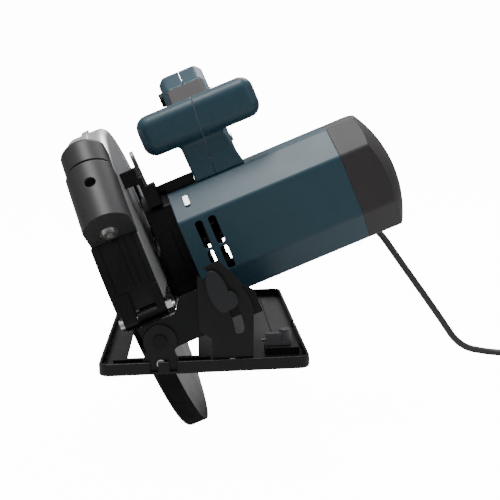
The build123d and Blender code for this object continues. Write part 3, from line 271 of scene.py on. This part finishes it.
def make_finishes():
    """Every finish on the saw, by the record's material slot or by a name of its own."""
    return {
        "shoe_black": surface("shoe_paint", (0.006, 0.006, 0.007), 0.34, grain=0.05, grain_size=0.0012,
                              specular=0.3, speck=0.15),
        "frame_black": surface("frame_paint", (0.004, 0.004, 0.005), 0.36, grain=0.06, grain_size=0.001,
                               specular=0.25, speck=0.15),
        "bright_steel": surface("zinc", (0.62, 0.61, 0.59), 0.30, metallic=1, grain=0.02, bevel=0.3),
        "guide_steel": surface("guide_steel", (0.28, 0.28, 0.29), 0.40, metallic=1, grain=0.02),
        "clamp_grey": surface("clamp_paint", (0.09, 0.09, 0.10), 0.42, grain=0.05, speck=0.3),
        "lever_grey": surface("lever_plastic", (0.016, 0.017, 0.019), 0.40, grain=0.03, specular=0.4,
                              bevel=1.4),
        "guard_silver": surface("guard_silver", (0.72, 0.72, 0.73), 0.36, metallic=0.8, grain=0.02,
                                patch=0.04, speck=0.1),
        "guard_black": surface("guard_paint", (0.006, 0.006, 0.007), 0.36, grain=0.04, grain_size=0.001,
                               specular=0.2, bevel=0.8),
        "shell_black": surface("shell_plastic", (0.005, 0.005, 0.006), 0.34, grain=0.03, specular=0.3),
        "hood_grey": surface("hood_plastic", (0.026, 0.026, 0.028), 0.46, grain=0.05, grain_size=0.0007,
                             bevel=0.8, speck=0.1),
        "teal_plastic": surface("teal_plastic", (0.017, 0.058, 0.084), 0.42, grain=0.04, grain_size=0.0007,
                                bevel=1.0, speck=0.05),
        "cap_grey": surface("cap_plastic", (0.028, 0.024, 0.026), 0.52, grain=0.06, grain_size=0.0008,
                            bevel=1.2, speck=0.1),
        "soft_grey": surface("soft_rubber", (0.050, 0.045, 0.047), 0.62, grain=0.08, grain_size=0.0009,
                             bevel=0.8, speck=0.2),
        "switch_black": surface("switch_plastic", (0.008, 0.008, 0.008), 0.50, grain=0.04, specular=0.3),
        "core_steel": surface("core_steel", (0.30, 0.30, 0.31), 0.45, metallic=1, grain=0.04,
                              stretch=(20, 1, 1)),
        "winding_copper": surface("copper", (0.48, 0.19, 0.08), 0.35, metallic=1, grain=0.1,
                                  grain_size=0.0015),
        "carbon": surface("carbon", (0.02, 0.02, 0.02), 0.60),
        "fan_plastic": surface("fan_plastic", (0.05, 0.05, 0.05), 0.50, grain=0.03),
        "gear_steel": surface("gear_steel", (0.42, 0.42, 0.43), 0.32, metallic=1, grain=0.02),
        "blade_steel": surface("blade_steel", (0.55, 0.55, 0.57), 0.28, metallic=1, grain=0.02, bevel=0.2),
        "cord_rubber": surface("cord_rubber", (0.030, 0.030, 0.031), 0.45, grain=0.02, bevel=0.3),
    }


def paint(piece, finish):
    """Gives a piece one finish."""
    piece.data.materials.clear()
    piece.data.materials.append(FINISHES[finish])


def paint_cad():
    """Gives every CAD node the finish of its slot, and smooth faces with its sharp edges kept."""
    for row in frame["record"]["subparts"]:
        node = NODES[row["node"]]
        paint(node, row["material_slot"])
        for face in node.data.polygons:
            face.use_smooth = True
        node.data.set_sharp_from_angle(angle=radians(SHARP_EDGE))


# ---- the mains lead ---------------------------------------------------------------------------------------

CORD_D = 0.0068
CORD_Z = FLOOR_Z + 0.0004 + CORD_D / 2
COIL_CENTRE = Vector((0.362, 0.212, 0))
ROUTE = [
    (0.0366, 0.2143, 0.0846),
    (0.0420, 0.2380, 0.0710),
    (0.0640, 0.2520, 0.0620),
    (0.1000, 0.2500, 0.0610),
    (0.1380, 0.2300, 0.0710),
    (0.1725, 0.2020, 0.0685),
    (0.2060, 0.2015, 0.0175),
    (0.2400, 0.2000, -0.0330),
    (0.2600, 0.1995, -0.0655),
    (0.2900, 0.2010, CORD_Z),
    (0.3140, 0.1910, CORD_Z),
]
COIL_START = -125.0
LAYER = 0.0070
OUTER, MIDDLE, INNER, TOP_TURN = 0.0471, 0.0400, 0.0329, 0.0355
# How far round the coil, in degrees, each strand begins and ends: travel, radius and layer.
COIL_PLAN = [
    (0, OUTER, 0), (300, OUTER, 0), (360, MIDDLE, 0), (660, MIDDLE, 0), (720, INNER, 0), (960, INNER, 0),
    (1020, INNER, 1), (1260, INNER, 1), (1320, MIDDLE, 1), (1620, MIDDLE, 1), (1680, OUTER, 1),
    (1920, OUTER, 1), (1980, OUTER, 2), (2220, OUTER, 2), (2280, MIDDLE, 2), (2520, MIDDLE, 2),
    (2610, INNER, 2), (2700, INNER, 2.2), (2820, TOP_TURN, 3.0), (2970, TOP_TURN, 4.0),
]
COIL_STEP = 30
TAIL_RUNS = (10, 26)             # how far into the plug the last points lie, in millimetres


def coil_point(travel):
    """The lead's centre after so many degrees round the coil."""
    for (start, *low), (end, *high) in zip(COIL_PLAN, COIL_PLAN[1:]):
        if travel <= end:
            share = (travel - start) / (end - start)
            break
    radius = low[0] + (high[0] - low[0]) * share
    rise = LAYER * (low[1] + (high[1] - low[1]) * share)
    angle = radians(COIL_START + travel)
    return COIL_CENTRE + Vector((radius * cos(angle), radius * sin(angle), CORD_Z + rise))


def add_cord():
    """The lead: one smooth tube from the strain relief to its coil and plug."""
    plug_low, plug_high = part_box("mains_plug")
    plug_middle = (plug_low + plug_high) / 2
    plug_back = Vector((plug_middle.x, plug_low.y, plug_middle.z))
    turns = [coil_point(travel) for travel in range(0, COIL_PLAN[-1][0] + 1, COIL_STEP)]
    tail = [plug_back + Vector((0, run, 0)) * MM for run in TAIL_RUNS]
    points = [Vector(point) for point in ROUTE] + turns + tail
    curve = bpy.data.curves.new("mains_lead", "CURVE")
    curve.dimensions = "3D"
    curve.bevel_depth = CORD_D / 2
    curve.bevel_resolution = 6
    curve.resolution_u = 8
    curve.use_fill_caps = True
    spline = curve.splines.new("NURBS")
    spline.points.add(len(points) - 1)
    for place, point in zip(spline.points, points):
        place.co = (*point, 1)
    spline.order_u = 3
    spline.use_endpoint_u = True
    lead = bpy.data.objects.new("mains_lead", curve)
    bpy.context.scene.collection.objects.link(lead)
    lead.data.materials.append(FINISHES["cord_rubber"])
    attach(lead, "head")
    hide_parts("cord_run", "cord_coil")


# ---- shaping helpers --------------------------------------------------------------------------------------


def new_piece(name, mesh, finish, body, nodes):
    """Puts a mesh in the scene as a piece of the saw, in place of the CAD nodes it stands for."""
    piece = bpy.data.objects.new(name, mesh)
    bpy.context.scene.collection.objects.link(piece)
    paint(piece, finish)
    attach(piece, body)
    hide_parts(*nodes)
    return piece


def baked(name, mesh, modifiers):
    """A mesh with modifiers, given as pairs of a type and its settings, worked into it."""
    source = bpy.data.objects.new(name + "_source", mesh)
    bpy.context.scene.collection.objects.link(source)
    for kind, settings in modifiers:
        modifier = source.modifiers.new(kind.lower(), kind)
        for key, value in settings.items():
            setattr(modifier, key, value)
    ready = source.evaluated_get(bpy.context.evaluated_depsgraph_get())
    result = bpy.data.meshes.new_from_object(ready)
    result.name = name
    bpy.data.objects.remove(source)
    return result


def joined(nodes):
    """One mesh with the solids of several CAD nodes."""
    work = bmesh.new()
    for node in nodes:
        work.from_mesh(NODES[node].data)
    mesh = bpy.data.meshes.new("joined")
    work.to_mesh(mesh)
    work.free()
    return mesh


def cut(mesh, place, normal):
    """The part of a closed mesh on the side of a plane that its normal points to, capped."""
    work = bmesh.new()
    work.from_mesh(mesh)
    geometry = work.verts[:] + work.edges[:] + work.faces[:]
    sliced = bmesh.ops.bisect_plane(work, geom=geometry, plane_co=place, plane_no=normal, clear_inner=True)
    rim = [element for element in sliced["geom_cut"] if isinstance(element, bmesh.types.BMEdge)]
    bmesh.ops.contextual_create(work, geom=rim)
    result = bpy.data.meshes.new(mesh.name + "_part")
    work.to_mesh(result)
    work.free()
    return result


def smooth_all(mesh, sharp=None):
    """Smooth shading, with edges sharper than an angle in degrees kept."""
    for face in mesh.polygons:
        face.use_smooth = True
    if sharp:
        mesh.set_sharp_from_angle(angle=radians(sharp))
    return mesh


def softened(name, nodes, voxel, rounds):
    """CAD nodes melted into one moulded form with flowing edges."""
    mesh = baked(name, joined(nodes), [
        ("REMESH", {"mode": "VOXEL", "voxel_size": voxel * MM}),
        ("SMOOTH", {"factor": SMOOTHING, "iterations": rounds}),
    ])
    return smooth_all(mesh)


# ---- moulded handles --------------------------------------------------------------------------------------

SEAM_GAP = 0.35
SEAM_EDGE = 50
SMOOTHING = 0.5
# Each moulding's voxel in millimetres and its rounds of smoothing.
GRIP_MELT, HANDLE_MELT, SKIN_MELT = (1.3, 7), (1.5, 6), (0.9, 3)
GRIP_SEAM_LOW, GRIP_SEAM_HIGH = (82.0, 87.5), (87.0, 151.5)


def add_front_grip():
    """The cross-bar grip as one flowing form, parted along its slanting seam."""
    whole = softened("front_grip", ("front_grip_left", "front_grip_right"), *GRIP_MELT)
    low = head(GRIP_SEAM_LOW[0], 0, GRIP_SEAM_LOW[1])
    high = head(GRIP_SEAM_HIGH[0], 0, GRIP_SEAM_HIGH[1])
    across = (high - low).cross(Vector((0, 1, 0))).normalized()
    across = across if across.dot(AXIS) > 0 else -across
    for side, sign in (("left", -1), ("right", 1)):
        place = low + across * (sign * SEAM_GAP / 2 * MM)
        mesh = smooth_all(cut(whole, place, across * sign), SEAM_EDGE)
        new_piece("front_grip_moulding_" + side, mesh, "teal_plastic", "head", ["front_grip_" + side])


SEAM_U = 85.0


def add_rear_handle():
    """The loop handle's two halves, softened and parted at their seam."""
    whole = softened("rear_handle", ("handle_left", "handle_right"), *HANDLE_MELT)
    for side, sign in (("left", -1), ("right", 1)):
        mesh = smooth_all(cut(whole, head(SEAM_U + sign * SEAM_GAP / 2, 0, 0), AXIS * sign), SEAM_EDGE)
        new_piece("rear_handle_moulding_" + side, mesh, "teal_plastic", "head", ["handle_" + side])
    skin = softened("handle_skin", ("handle_overmould",), *SKIN_MELT)
    new_piece("handle_skin", skin, "soft_grey", "head", ["handle_overmould"])


FINISHES = make_finishes()
add_camera()
add_stage()
paint_cad()
add_cord()
add_front_grip()
add_rear_handle()
